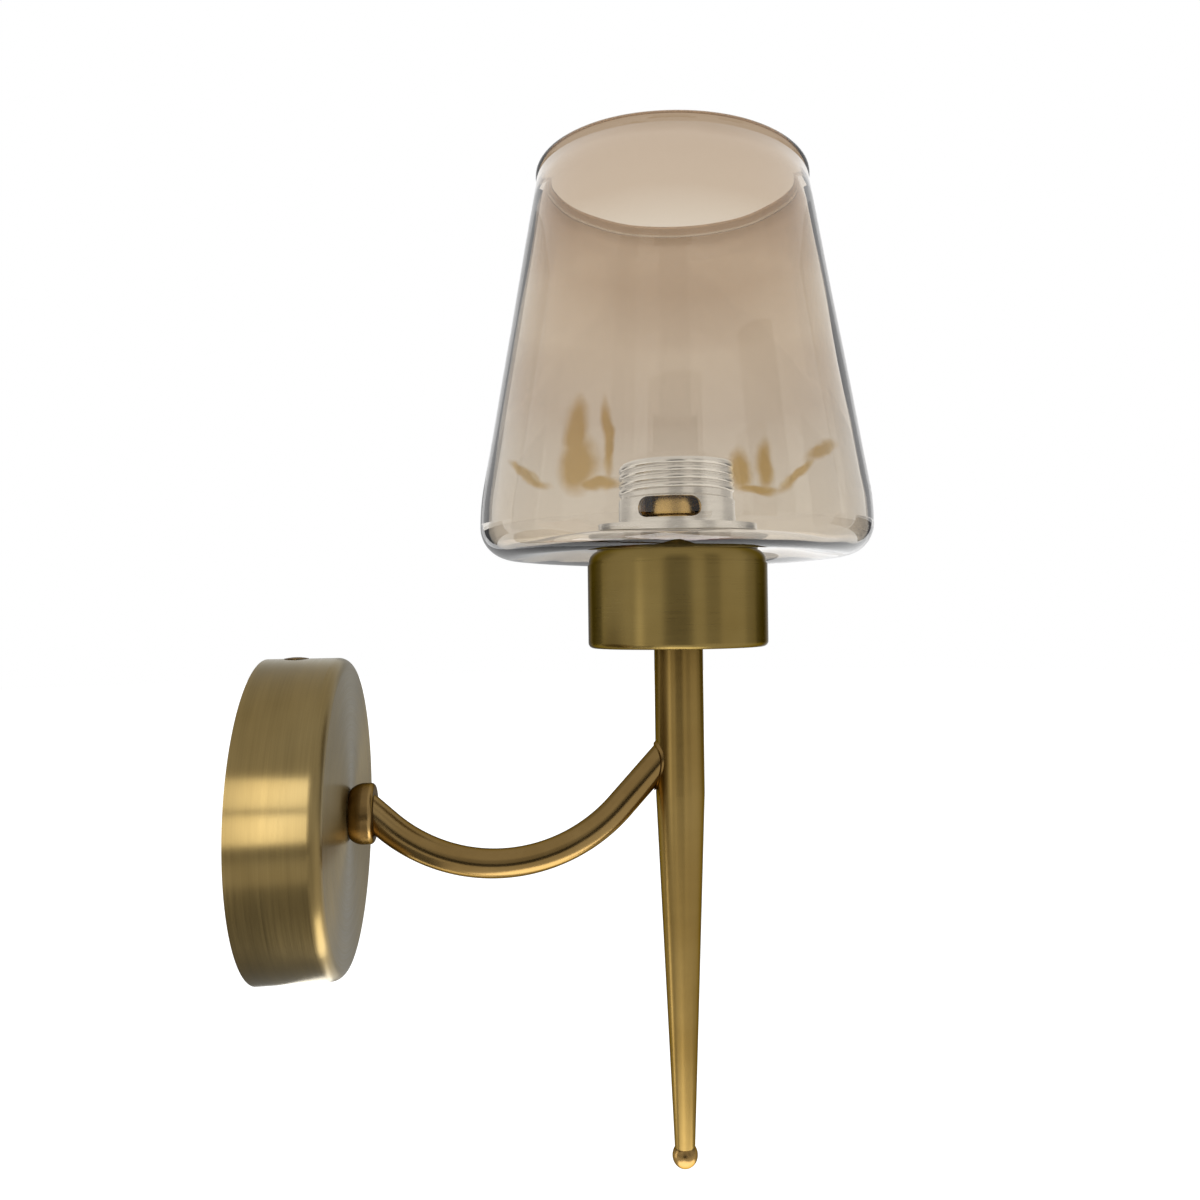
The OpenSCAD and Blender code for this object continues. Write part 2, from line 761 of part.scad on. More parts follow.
// Lower half of the lampholder: a threaded boss, a domed bowl and a ledge for the insulator
module lampholder_base() color(steel) {
    at_stem(0) rotate_extrude() polygon(concat(
        [[base_thread_r, holder_z], [base_boss_r, holder_z], [base_boss_r, holder_z + base_boss_h]],
        arc(base_boss_r, base_dome_z, base_r - base_boss_r, -36, 0, 6),
        [
            [base_r, barrel_z], [base_r - base_wall, barrel_z], [base_r - base_wall, core_z],
            [base_cavity_r, core_z], [base_cavity_r, nipple_top + base_floor_t],
            [base_floor_r, nipple_top], [base_thread_r, nipple_top]
        ]
    ));
}

module lampholder_core() color(white) {
    at_stem(0) difference() {
        translate([0, 0, core_z]) cylinder(r = core_r, h = core_top - core_z);
        both_sides() {
            translate([0, holder_lead_y, core_z - over])
                cylinder(r = lead_d / 2 + lead_gap, h = holder_lead_top - core_z + 2 * over);
            translate([0, holder_lead_y, holder_screw_z]) rotate([-90, 0, 0]) {
                cylinder(d = holder_screw_d + 2 * thread_gap, h = core_r);
                translate([0, 0, core_r - holder_lead_y - holder_head_inset])
                    cylinder(r = holder_head_d / 2 + lead_gap, h = holder_head_inset + over);
            }
        }
        translate([-contact_w / 2 - lead_gap, core_r - side_inset - lead_gap, holder_screw_z])
            cube([contact_w + 2 * lead_gap, 2 * side_inset, core_top]);
    }
}

// Two clamping screws in the insulator, heads outwards
module holder_screws() color(steel) {
    both_sides()
        at_stem(holder_screw_z) translate([0, holder_lead_y, 0]) rotate([-90, 0, 0]) {
            tip = lead_d / 2 + clamp_gap;
            head = core_r - holder_lead_y - holder_head_inset;
            translate([0, 0, tip]) cylinder(d = holder_screw_d, h = head - tip);
            difference() {
                translate([0, 0, head]) cylinder(d = holder_head_d, h = holder_head_h);
                translate([-holder_head_d, -small_slot_w / 2, head + holder_head_h / 2])
                    cube([2 * holder_head_d, small_slot_w, holder_head_h]);
            }
        }
}

// Brass strip from the neutral terminal up to the foot of the screw shell
module side_contact() color(contact_brass) {
    foot = holder_screw_z + side_foot;
    inner = socket_r - shell_step + shell_wall + lead_gap;
    outer = core_r - side_inset + contact_t;
    at_stem(0) translate([-contact_w / 2, 0, 0]) {
        translate([0, outer - contact_t, foot]) cube([contact_w, contact_t, core_top - foot]);
        translate([0, inner, core_top]) cube([contact_w, outer - inner, contact_t]);
    }
}

// Springy brass tongue: a round root at the pivot, a sloping leaf and a level tip over the middle
module centre_contact() color(contact_brass) {
    tip_z = core_top + contact_rise;
    rise = tip_z - contact_pivot_z;
    run = contact_x - contact_tip;
    slope = atan(rise / run);
    at_stem(0) {
        translate([-contact_x, -contact_w / 2, contact_pivot_z]) rotate([-90, 0, 0])
            cylinder(r = contact_t, h = contact_w);
        translate([-contact_x, -contact_w / 2, contact_pivot_z]) rotate([0, -slope, 0])
            translate([0, 0, -contact_t / 2]) cube([norm([rise, run]), contact_w, contact_t]);
        translate([-contact_tip, -contact_w / 2, tip_z - contact_t / 2])
            cube([2 * contact_tip, contact_w, contact_t]);
        translate([0, 0, tip_z]) cylinder(r1 = 2, r2 = 1.2, h = contact_stud_h);
    }
}

// Screw shell of one thin sheet: an inward foot on the insulator, a narrow lower part, then the threaded part
module screw_shell() color(contact_brass) {
    foot_r = socket_r - shell_step;
    at_stem(core_top) rotate_extrude() polygon([
        [shell_flange_r, 0],
        [foot_r + shell_wall, 0],
        [foot_r + shell_wall, shell_foot_h - shell_step - shell_wall / 2],
        [shell_r, shell_foot_h - shell_wall / 2],
        [shell_r, shell_l],
        [socket_r, shell_l],
        [socket_r, shell_foot_h],
        [foot_r, shell_foot_h - shell_step],
        [foot_r, shell_wall],
        [shell_flange_r, shell_wall]
    ]);
}

// Insulating ring at the lampholder's mouth, stepped to sit on the screw shell
module mouth_ring() color(white) {
    at_stem(0) difference() {
        translate([0, 0, mouth_z]) ring(mouth_r, mouth_bore_r, mouth_top - mouth_z);
        translate([0, 0, mouth_z - over]) cylinder(r = shell_r + shell_gap, h = shell_top - mouth_z + over);
    }
}

module lampholder_barrel() color(steel) {
    at_stem(0) difference() {
        union() {
            translate([0, 0, barrel_z]) cylinder(r = barrel_r, h = barrel_top - barrel_z);
            translate([0, 0, barrel_z]) cylinder(r = flange_r, h = flange_h);
        }
        translate([0, 0, barrel_z - over]) cylinder(r = barrel_in_r, h = mouth_top - barrel_z + over);
        translate([0, 0, mouth_top - over]) cylinder(r = lip_r, h = barrel_top - mouth_top + 2 * over);
        for (i = [0 : windows - 1])
            rotate([0, 0, -90 - window_turn + i * 360 / windows]) barrel_window();
    }
}

// Long window with round ends, cut outwards along +X
module barrel_window() {
    straight = window_w - window_h;
    translate([0, -straight / 2, window_z - window_h / 2]) cube([barrel_r + over, straight, window_h]);
    for (s = [-1, 1])
        translate([0, s * straight / 2, window_z])
            rotate([0, 90, 0]) cylinder(d = window_h, h = barrel_r + over);
}

module lower_gasket() color(rubber) {
    at_stem(lid_z) ring(gasket_r, hole_r, gasket_t);
}

// Blown glass: flat clamped middle, foot ring, round corner, straight leaning side and beaded rim
module glass_shade() color(glass_tint) {
    bead_r = bead_h / 2;
    lean = tan(shade_a);
    corner_in = corner_r - glass_t;
    shoulder_in = shoulder_r - glass_t;
    in_r = rim_r + bead_out - bead_w;
    at_stem(0) rotate_extrude() polygon(concat(
        [[hole_r, glass_z]],
        swell(flat_r, glass_z, corner_cr, foot_z, 8),
        arc(corner_cr, corner_cz, corner_r, -80, 0, 8),
        arc(shade_r - shoulder_r, corner_cz, shoulder_r, shade_a / 4, shade_a, 3),
        [[rim_r + bead_h * lean, rim_z - bead_h]],
        arc(rim_r + bead_out - bead_r, rim_z - bead_r, bead_r, -60, 90, 6),
        arc(in_r + bead_r, rim_z - bead_r, bead_r, 90, 180, 4),
        [[rim_r - glass_t + 2.4 * bead_h * lean, rim_z - 2.4 * bead_h]],
        arc(shade_r - shoulder_r, corner_cz, shoulder_in, shade_a, shade_a / 4, 3),
        arc(corner_cr, corner_cz, corner_in, 0, -80, 6),
        swell(corner_cr, foot_z + glass_t, flat_r, glass_top, 8),
        [[hole_r, glass_top]]
    ));
}

module upper_gasket() color(rubber) {
    at_stem(glass_top) ring(gasket_r - 0.8, hole_r, gasket_t);
}

// Threaded ring that clamps the glass
module shade_ring() color(steel) {
    at_stem(ring_z) ring(ring_d / 2, barrel_r + turn_gap, ring_h);
}

wall_bracket();
earth_screw();
backplate();
rim_nuts();
rim_screws();
arm_collar();
arm_nipple();
lock_washer();
nipple_nut();
terminal_block();
terminal_inserts();
terminal_screws();
live_lead();
neutral_lead();
arm_tube();
braze_seam();
stem_tube();
stem_plug();
finial_ball();
stem_nipple();
holder_cup();
cup_washer();
cup_nut();
cup_lid();
lampholder_base();
lampholder_core();
holder_screws();
side_contact();
centre_contact();
screw_shell();
mouth_ring();
lampholder_barrel();
lower_gasket();
glass_shade();
upper_gasket();
shade_ring();
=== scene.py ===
from math import cos, pi, radians, sin, tan

import bpy
from mathutils import Matrix, Vector


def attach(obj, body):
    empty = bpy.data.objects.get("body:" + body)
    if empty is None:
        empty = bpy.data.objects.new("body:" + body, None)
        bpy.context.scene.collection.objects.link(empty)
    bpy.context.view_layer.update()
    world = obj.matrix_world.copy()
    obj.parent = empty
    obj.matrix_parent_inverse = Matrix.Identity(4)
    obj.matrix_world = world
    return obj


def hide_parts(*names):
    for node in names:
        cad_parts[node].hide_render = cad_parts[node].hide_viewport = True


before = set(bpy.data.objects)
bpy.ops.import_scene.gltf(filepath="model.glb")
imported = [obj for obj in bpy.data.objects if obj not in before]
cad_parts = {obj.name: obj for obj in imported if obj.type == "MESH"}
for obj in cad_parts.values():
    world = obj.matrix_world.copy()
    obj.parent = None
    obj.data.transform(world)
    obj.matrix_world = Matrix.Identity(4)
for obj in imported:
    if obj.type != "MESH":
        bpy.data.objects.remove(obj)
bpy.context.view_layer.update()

print("frame loaded:", len(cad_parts), "nodes")

# x runs out from the wall, z up; the backplate's middle on the wall is the zero point
mm = 0.001         # the values below are in mm and degrees, unless a note says otherwise
mergeGap = 1e-7    # in metres; points closer than this are one point
stemX = 132.0      # upright axis of stem, cup, lampholder and glass

cameraPlace = {
    "location": (77.66, -323.601, 62.084),   # in front of the sconce and a little to its left
    "yaw": 0.15492,                          # turned to the right; this and the next two in radians
    "pitch": 0.00497,
    "roll": -0.01305,
    "lens": 29.211,
    "shiftX": -0.05575,                      # shares of the picture's width
    "shiftY": 0.00917,
    "near": 0.01, "far": 50,                 # metres
}


def makeCamera(place):
    data = bpy.data.cameras.new("camera")
    data.lens = place["lens"]
    data.shift_x, data.shift_y = place["shiftX"], place["shiftY"]
    data.clip_start, data.clip_end = place["near"], place["far"]
    camera = bpy.data.objects.new("camera", data)
    bpy.context.scene.collection.objects.link(camera)
    yaw, pitch, roll = place["yaw"], place["pitch"], place["roll"]
    forward = Vector((sin(yaw) * cos(pitch), cos(yaw) * cos(pitch), sin(pitch)))
    level = Vector((cos(yaw), -sin(yaw), 0))
    upright = level.cross(forward)
    right = cos(roll) * level + sin(roll) * upright
    up = -sin(roll) * level + cos(roll) * upright
    turn = Matrix((right, up, -forward)).transposed().to_4x4()
    camera.matrix_world = Matrix.Translation(Vector(place["location"]) * mm) @ turn
    bpy.context.scene.camera = camera


makeCamera(cameraPlace)
print("camera set")


# small helpers for shaping
def clearSelection():
    if bpy.context.object and bpy.context.object.mode != "OBJECT":
        bpy.ops.object.mode_set(mode="OBJECT")
    bpy.ops.object.select_all(action="DESELECT")


def editAll():
    bpy.ops.object.mode_set(mode="EDIT")
    bpy.ops.mesh.select_all(action="SELECT")


def bakePlace():
    bpy.ops.object.transform_apply(location=True, rotation=True, scale=True)


def finishMesh(piece, name, angle=35):
    # merge and turn the faces outwards; the last two steps reach selected pieces only
    bpy.context.view_layer.objects.active = piece
    editAll()
    bpy.ops.mesh.remove_doubles(threshold=mergeGap)
    bpy.ops.mesh.normals_make_consistent(inside=False)
    bpy.ops.object.mode_set(mode="OBJECT")
    bakePlace()
    bpy.ops.object.shade_smooth_by_angle(angle=radians(angle))
    piece.name = piece.data.name = name
    return piece


def applyAll(piece):
    bpy.context.view_layer.objects.active = piece
    for modifier in list(piece.modifiers):
        bpy.ops.object.modifier_apply(modifier=modifier.name)


def cutAway(piece, cutter, name):
    cut = piece.modifiers.new(name, "BOOLEAN")
    cut.object, cut.operation, cut.solver = cutter, "DIFFERENCE", "EXACT"


def joinPieces(pieces):
    clearSelection()
    for piece in pieces:
        piece.select_set(True)
    bpy.context.view_layer.objects.active = pieces[0]
    bpy.ops.object.join()
    return pieces[0]


def raiseRings(points, sides):
    # a round body on the stem's axis: one circle, extruded and scaled from ring to ring and closed
    clearSelection()
    x = stemX * mm
    rings = [(r * mm, z * mm) for r, z in points]
    radius, z = rings[0]
    bpy.ops.mesh.primitive_circle_add(vertices=sides, radius=radius, location=(x, 0, z))
    piece = bpy.context.active_object
    editAll()
    for nextRadius, nextZ in rings[1:] + rings[:1]:
        bpy.ops.mesh.extrude_region_move(TRANSFORM_OT_translate={"value": (0, 0, nextZ - z)})
        ratio = nextRadius / radius
        bpy.ops.transform.resize(value=(ratio, ratio, 1), center_override=(x, 0, nextZ))
        radius, z = nextRadius, nextZ
    bpy.ops.object.mode_set(mode="OBJECT")
    return piece


# outlines are lists of (radius, z)
def arcPoints(centreR, centreZ, radius, first, last, steps):
    angles = [radians(first + (last - first) * i / steps) for i in range(steps + 1)]
    return [(centreR + radius * cos(a), centreZ + radius * sin(a)) for a in angles]


def straightLine(a, b, steps):
    # from a to b without a itself
    return [(a[0] + (b[0] - a[0]) * i / steps, a[1] + (b[1] - a[1]) * i / steps)
            for i in range(1, steps + 1)]


def swell(r0, z0, r1, z1, steps):
    # from one height to the next in an easy S
    shares = [i / steps for i in range(steps + 1)]
    return [(r0 + (r1 - r0) * t, z0 + (z1 - z0) * (3 * t * t - 2 * t ** 3)) for t in shares]


# small helpers for materials
def newMaterial(name):
    material = bpy.data.materials.new(name)
    material.use_nodes = True
    tree = material.node_tree
    return material, tree, tree.nodes["Principled BSDF"]


def addNode(tree, kind, **settings):
    node = tree.nodes.new(kind)
    for key, value in settings.items():
        if key in node.inputs:
            node.inputs[key].default_value = value
        else:
            setattr(node, key, value)
    return node


def objectCoords(tree, centre=(0, 0, 0), stretch=(1, 1, 1)):
    coords = addNode(tree, "ShaderNodeTexCoord")
    shifted = addNode(tree, "ShaderNodeVectorMath", operation="SUBTRACT")
    shifted.inputs[1].default_value = centre
    mapping = addNode(tree, "ShaderNodeMapping")
    mapping.inputs["Scale"].default_value = stretch
    tree.links.new(coords.outputs["Object"], shifted.inputs[0])
    tree.links.new(shifted.outputs[0], mapping.inputs["Vector"])
    return mapping.outputs["Vector"]


def aroundAxis(tree, axis, centre, grooves, roundScale):
    # coordinates of a turned part: quick along its axis and outwards, slow round it
    coords = addNode(tree, "ShaderNodeTexCoord")
    shifted = addNode(tree, "ShaderNodeVectorMath", operation="SUBTRACT")
    shifted.inputs[1].default_value = centre
    tree.links.new(coords.outputs["Object"], shifted.inputs[0])
    parts = addNode(tree, "ShaderNodeSeparateXYZ")
    tree.links.new(shifted.outputs[0], parts.inputs[0])
    lengthwise, acrossA, acrossB = {"X": "XYZ", "Z": "ZXY"}[axis]
    flat = addNode(tree, "ShaderNodeCombineXYZ")
    tree.links.new(parts.outputs[acrossA], flat.inputs[0])
    tree.links.new(parts.outputs[acrossB], flat.inputs[1])
    out = addNode(tree, "ShaderNodeVectorMath", operation="LENGTH")
    tree.links.new(flat.outputs[0], out.inputs[0])
    unit = addNode(tree, "ShaderNodeVectorMath", operation="NORMALIZE")
    tree.links.new(flat.outputs[0], unit.inputs[0])
    slow = addNode(tree, "ShaderNodeVectorMath", operation="SCALE", Scale=roundScale)
    tree.links.new(unit.outputs[0], slow.inputs[0])
    along = addNode(tree, "ShaderNodeMath", operation="MULTIPLY")
    along.inputs[1].default_value = grooves
    tree.links.new(parts.outputs[lengthwise], along.inputs[0])
    outward = addNode(tree, "ShaderNodeMath", operation="MULTIPLY_ADD")
    outward.inputs[1].default_value = grooves
    tree.links.new(out.outputs["Value"], outward.inputs[0])
    tree.links.new(along.outputs[0], outward.inputs[2])
    lift = addNode(tree, "ShaderNodeCombineXYZ")
    tree.links.new(outward.outputs[0], lift.inputs[2])
    total = addNode(tree, "ShaderNodeVectorMath", operation="ADD")
    tree.links.new(slow.outputs[0], total.inputs[0])
    tree.links.new(lift.outputs[0], total.inputs[1])
    return total.outputs[0]


def noise(tree, vector, scale=1.0, detail=2.0, roughness=0.5):
    node = addNode(tree, "ShaderNodeTexNoise", Scale=scale, Detail=detail, Roughness=roughness)
    tree.links.new(vector, node.inputs["Vector"])
    return node.outputs["Fac"]


def ramp(tree, factor, stops):
    node = addNode(tree, "ShaderNodeValToRGB")
    line = node.color_ramp
    line.elements[0].position, line.elements[0].color = stops[0][0], (*stops[0][1], 1)
    line.elements[1].position, line.elements[1].color = stops[-1][0], (*stops[-1][1], 1)
    for place, colour in stops[1:-1]:
        line.elements.new(place).color = (*colour, 1)
    tree.links.new(factor, node.inputs["Fac"])
    return node.outputs["Color"]


def greyRamp(tree, factor, first, last, low, high):
    return ramp(tree, factor, [(first, (low,) * 3), (last, (high,) * 3)])


def spread(tree, factor, low, high, first=0.3, last=0.7):
    # turns first ... last into low ... high
    node = addNode(tree, "ShaderNodeMapRange")
    for key, value in (("From Min", first), ("From Max", last), ("To Min", low), ("To Max", high)):
        node.inputs[key].default_value = value
    tree.links.new(factor, node.inputs["Value"])
    return node.outputs["Result"]


def blendColours(tree, factor, a, b, kind="MIX"):
    node = addNode(tree, "ShaderNodeMix", data_type="RGBA", blend_type=kind)
    for socket, value in ((0, factor), (6, a), (7, b)):
        if isinstance(value, (tuple, float)):
            node.inputs[socket].default_value = value if socket == 0 else (*value, 1)
        else:
            tree.links.new(value, node.inputs[socket])
    return node.outputs[2]


def bumps(tree, shader, layers):
    # layers: (height socket, strength, distance in mm), the first one lowest
    previous = None
    for height, strength, depth in layers:
        node = addNode(tree, "ShaderNodeBump", Strength=strength, Distance=depth * mm)
        tree.links.new(height, node.inputs["Height"])
        if previous:
            tree.links.new(previous, node.inputs["Normal"])
        previous = node.outputs["Normal"]
    tree.links.new(previous, shader.inputs["Normal"])


def shade(colour, factor):
    factors = factor if isinstance(factor, tuple) else (factor,) * 3
    return tuple(c * f for c, f in zip(colour, factors))


antiqueBrass = {
    "colour": (0.200, 0.138, 0.054),    # aged, brushed and lacquered
    "pale": (0.226, 0.161, 0.068),
    "deep": (0.176, 0.118, 0.043),
    "edge": (0.36, 0.35, 0.33),         # how bright it turns where it's seen along the surface
    "grooves": 2600,                    # fine brush lines to a metre
    "bands": 300,                       # broad ones
}


def patinaColour(tree, patina, finish, tone):
    return ramp(tree, patina, [
        (0.30, shade(finish["deep"], tone)),
        (0.52, shade(finish["colour"], tone)),
        (0.78, shade(finish["pale"], tone)),
    ])


def turnedBrass(name, axis, centre, finish, tone, roughness, anisotropy, lines, edge=None):
    # brushed on a lathe: fine grooves run round the axis; lines is how strongly they show
    material, tree, shader = newMaterial(name)
    fineNoise = noise(tree, aroundAxis(tree, axis, centre, finish["grooves"], 1.6), 1.0, 2.0, 0.6)
    broadNoise = noise(tree, aroundAxis(tree, axis, centre, finish["bands"], 0.9), 1.0, 2.0, 0.5)
    patina = noise(tree, objectCoords(tree, centre), 30.0, 3.0, 0.5)
    contrast = 0.06 * lines
    darker, paler = 1 - contrast, 1 + contrast / 2
    colour = patinaColour(tree, patina, finish, tone)
    bands = greyRamp(tree, broadNoise, 0.35, 0.65, darker, paler)
    colour = blendColours(tree, 1.0, colour, bands, "MULTIPLY")
    hair = greyRamp(tree, fineNoise, 0.30, 0.70, darker, paler)
    colour = blendColours(tree, 1.0, colour, hair, "MULTIPLY")
    tree.links.new(colour, shader.inputs["Base Color"])
    roughLevel = spread(tree, fineNoise, roughness - 0.03, roughness + 0.03)
    tree.links.new(roughLevel, shader.inputs["Roughness"])
    shader.inputs["Metallic"].default_value = 1.0
    shader.inputs["Anisotropic"].default_value = anisotropy
    shader.inputs["Anisotropic Rotation"].default_value = 0.25
    shader.inputs["Specular Tint"].default_value = (*(edge or finish["edge"]), 1)
    tangent = addNode(tree, "ShaderNodeTangent", direction_type="RADIAL", axis=axis)
    tree.links.new(tangent.outputs[0], shader.inputs["Tangent"])
    bumps(tree, shader, [(broadNoise, 0.2 * lines, 0.008), (fineNoise, 0.3 * lines, 0.002)])
    return material


def softBrass(name, finish, tone, roughness):
    # hand-rubbed, with no clear direction, for small turned and bent parts
    material, tree, shader = newMaterial(name)
    vector = objectCoords(tree)
    patina = noise(tree, vector, 45.0, 3.0, 0.5)
    rub = noise(tree, vector, 500.0, 2.0, 0.5)
    colour = patinaColour(tree, patina, finish, tone)
    speck = greyRamp(tree, rub, 0.35, 0.65, 0.97, 1.01)
    tree.links.new(blendColours(tree, 1.0, colour, speck, "MULTIPLY"), shader.inputs["Base Color"])
    roughLevel = spread(tree, patina, roughness - 0.02, roughness + 0.03)
    tree.links.new(roughLevel, shader.inputs["Roughness"])
    shader.inputs["Metallic"].default_value = 1.0
    shader.inputs["Specular Tint"].default_value = (*finish["edge"], 1)
    bumps(tree, shader, [(patina, 0.08, 0.05), (rub, 0.05, 0.003)])
    return material


def plainMetal(name, colour, roughness, grain=1400.0, stretch=(1, 1, 1), wear=0.25, bump=0.3):
    material, tree, shader = newMaterial(name)
    vector = objectCoords(tree, stretch=stretch)
    cloudy = noise(tree, vector, 70.0, 4.0, 0.6)
    fine = noise(tree, vector, grain, 3.0, 0.6)
    base = ramp(tree, cloudy, [(0.3, shade(colour, 1 - wear)), (0.7, shade(colour, 1 + wear / 3))])
    speck = greyRamp(tree, fine, 0.3, 0.7, 0.88, 1.04)
    tree.links.new(blendColours(tree, 0.8, base, speck, "MULTIPLY"), shader.inputs["Base Color"])
    roughLevel = spread(tree, fine, roughness - 0.06, roughness + 0.08)
    tree.links.new(roughLevel, shader.inputs["Roughness"])
    shader.inputs["Metallic"].default_value = 1.0
    bumps(tree, shader, [(cloudy, 0.1, 0.05), (fine, bump, 0.008)])
    return material


def dullPlastic(name, colour, roughness, grain=300.0, bump=0.2, specular=0.5):
    material, tree, shader = newMaterial(name)
    vector = objectCoords(tree)
    cloudy = noise(tree, vector, 60.0, 3.0, 0.55)
    fine = noise(tree, vector, grain, 3.0, 0.6)
    base = ramp(tree, cloudy, [(0.3, shade(colour, 0.90)), (0.7, shade(colour, 1.03))])
    tree.links.new(base, shader.inputs["Base Color"])
    roughLevel = spread(tree, fine, roughness - 0.06, roughness + 0.08)
    tree.links.new(roughLevel, shader.inputs["Roughness"])
    shader.inputs["Specular IOR Level"].default_value = specular
    bumps(tree, shader, [(cloudy, 0.1, 0.04), (fine, bump, 0.02)])
    return material


plateCentre = (0.012, 0, 0)    # metres
stemCentre = (stemX * mm, 0, 0)

materials = {
    "plate": turnedBrass("brushedBrassPlate", "X", plateCentre, antiqueBrass, (1.0, 1.04, 1.06),
                         roughness=0.32, anisotropy=0.8, lines=1.4, edge=(0.95, 0.96, 0.92)),
    "stem": turnedBrass("brushedBrassStem", "Z", stemCentre, antiqueBrass, (1.04, 0.99, 0.78),
                        roughness=0.33, anisotropy=0.85, lines=0.25),
    "cup": turnedBrass("brushedBrassCup", "Z", stemCentre, antiqueBrass, (0.95, 0.97, 0.80),
                       roughness=0.30, anisotropy=0.85, lines=0.3),
    "arm": softBrass("rubbedBrassArm", antiqueBrass, (1.0, 0.93, 0.86), 0.22),
    "small": softBrass("turnedBrassSmall", antiqueBrass, (1.05, 0.95, 0.86), 0.26),
    "braze": softBrass("brazeBrass", antiqueBrass, (1.0, 0.91, 0.80), 0.28),
    "contact": plainMetal("contactBrass", (0.72, 0.50, 0.20), 0.26),
    "zinc": plainMetal("zincPlate", (0.55, 0.56, 0.57), 0.34, wear=0.35),
    "holder": plainMetal("nickelPlate", (0.80, 0.78, 0.74), 0.22, grain=700.0,
                         stretch=(0.15, 0.15, 1.0), wear=0.08, bump=0.05),
    "white": dullPlastic("whiteInsulator", (0.80, 0.79, 0.76), 0.38),
    "rubber": dullPlastic("washerRubber", (0.60, 0.57, 0.50), 0.6, grain=900.0, bump=0.35, specular=0.35),
    "brown": dullPlastic("brownLead", (0.16, 0.07, 0.03), 0.42, grain=500.0, bump=0.25),
    "blue": dullPlastic("blueLead", (0.04, 0.13, 0.36), 0.42, grain=500.0, bump=0.25),
}
print("materials made:", len(materials))

nodeFinish = {
    "wall_bracket": "zinc", "earth_screw": "contact", "backplate": "plate", "rim_nuts": "zinc",
    "rim_screws": "small", "arm_collar": "small", "arm_nipple": "zinc", "lock_washer": "zinc",
    "nipple_nut": "zinc", "terminal_block": "white", "terminal_inserts": "contact",
    "terminal_screws": "zinc", "live_lead": "brown", "neutral_lead": "blue", "arm_tube": "arm",
    "braze_seam": "braze", "stem_tube": "stem", "stem_plug": "small", "finial_ball": "small",
    "stem_nipple": "zinc", "holder_cup": "cup", "cup_washer": "zinc", "cup_nut": "zinc",
    "cup_lid": "cup", "lampholder_base": "holder", "lampholder_core": "white",
    "holder_screws": "zinc", "side_contact": "contact", "centre_contact": "contact",
    "screw_shell": "contact", "mouth_ring": "white", "lampholder_barrel": "holder",
    "lower_gasket": "rubber", "upper_gasket": "rubber", "shade_ring": "holder",
}

for node, finish in nodeFinish.items():
    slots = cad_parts[node].data.materials
    slots.clear()
    slots.append(materials[finish])
print("materials on", len(nodeFinish), "nodes")


blownGlass = {
    "holeR": 20.4, "flatR": 31.0, "flatZ": 84.6, "wall": 2.4,
    "footZ": 81.3,                     # the ring that the glass would stand on
    "cornerR": 10.0, "widestR": 65.15, "shoulderR": 76.0,
    "lean": 10.2,                      # of the straight side, in from upright
    "rimR": 45.0, "rimZ": 210.0,
    "beadH": 3.8, "beadOut": 1.0, "beadW": 4.2,
    "beadFade": 2.4,                   # bead heights from the rim to where the wall is plain again
    "footTurn": 84,                    # degrees of the round lower corner below its middle
    "sides": 256,
    "ripple": 0.22, "rippleSize": 30.0,
    "tintFoot": 81.0,
    # how much light one wall lets through, from the tint's foot (0) to the rim (1)
    "tint": [
        (0.05, (0.785, 0.733, 0.659)), (0.28, (0.747, 0.697, 0.626)), (0.48, (0.663, 0.581, 0.492)),
        (0.68, (0.775, 0.697, 0.592)), (0.85, (0.575, 0.46, 0.345)), (0.975, (0.55, 0.435, 0.325)),
        (1.0, (0.43, 0.32, 0.215)),
    ],
    "cloud": 0.08,                     # how far the tint's levels wander, as a share of the height
    "body": (0.78, 0.64, 0.42), "bodyDensity": 60.0, "ior": 1.5,
    # painted reflections of the brass parts, amber, low in the glass: x, y, z, half width, half height
    # and tilt
    "paintedReflections": [
        (95.6, -51.4, 105.0, 6.2, 8.5, 3), (95.0, -50.0, 114.0, 4.2, 10.0, 6),
        (102.8, -55.7, 110.9, 1.6, 12.5, 4), (101.0, -56.0, 99.0, 6.5, 1.5, 0),
        (139.6, -63.8, 101.5, 3.6, 6.0, 0), (147.0, -62.2, 103.4, 2.2, 7.0, -4),
        (144.0, -63.0, 96.5, 7.0, 1.3, 0), (157.0, -58.6, 102.0, 9.0, 1.4, 40),
        (166.5, -53.4, 109.5, 8.0, 1.9, 24), (81.1, -38.7, 103.5, 11.0, 1.3, -28),
    ],
    # colour of the painted reflections of the brass
    "amber": (0.72, 0.55, 0.26),
    "reflectionDepth": 15.0, "reflectionWander": 5.0,
    "reflectionSoft": (0.62, 1.2),         # shares of the half size where a painted reflection starts and has faded
}


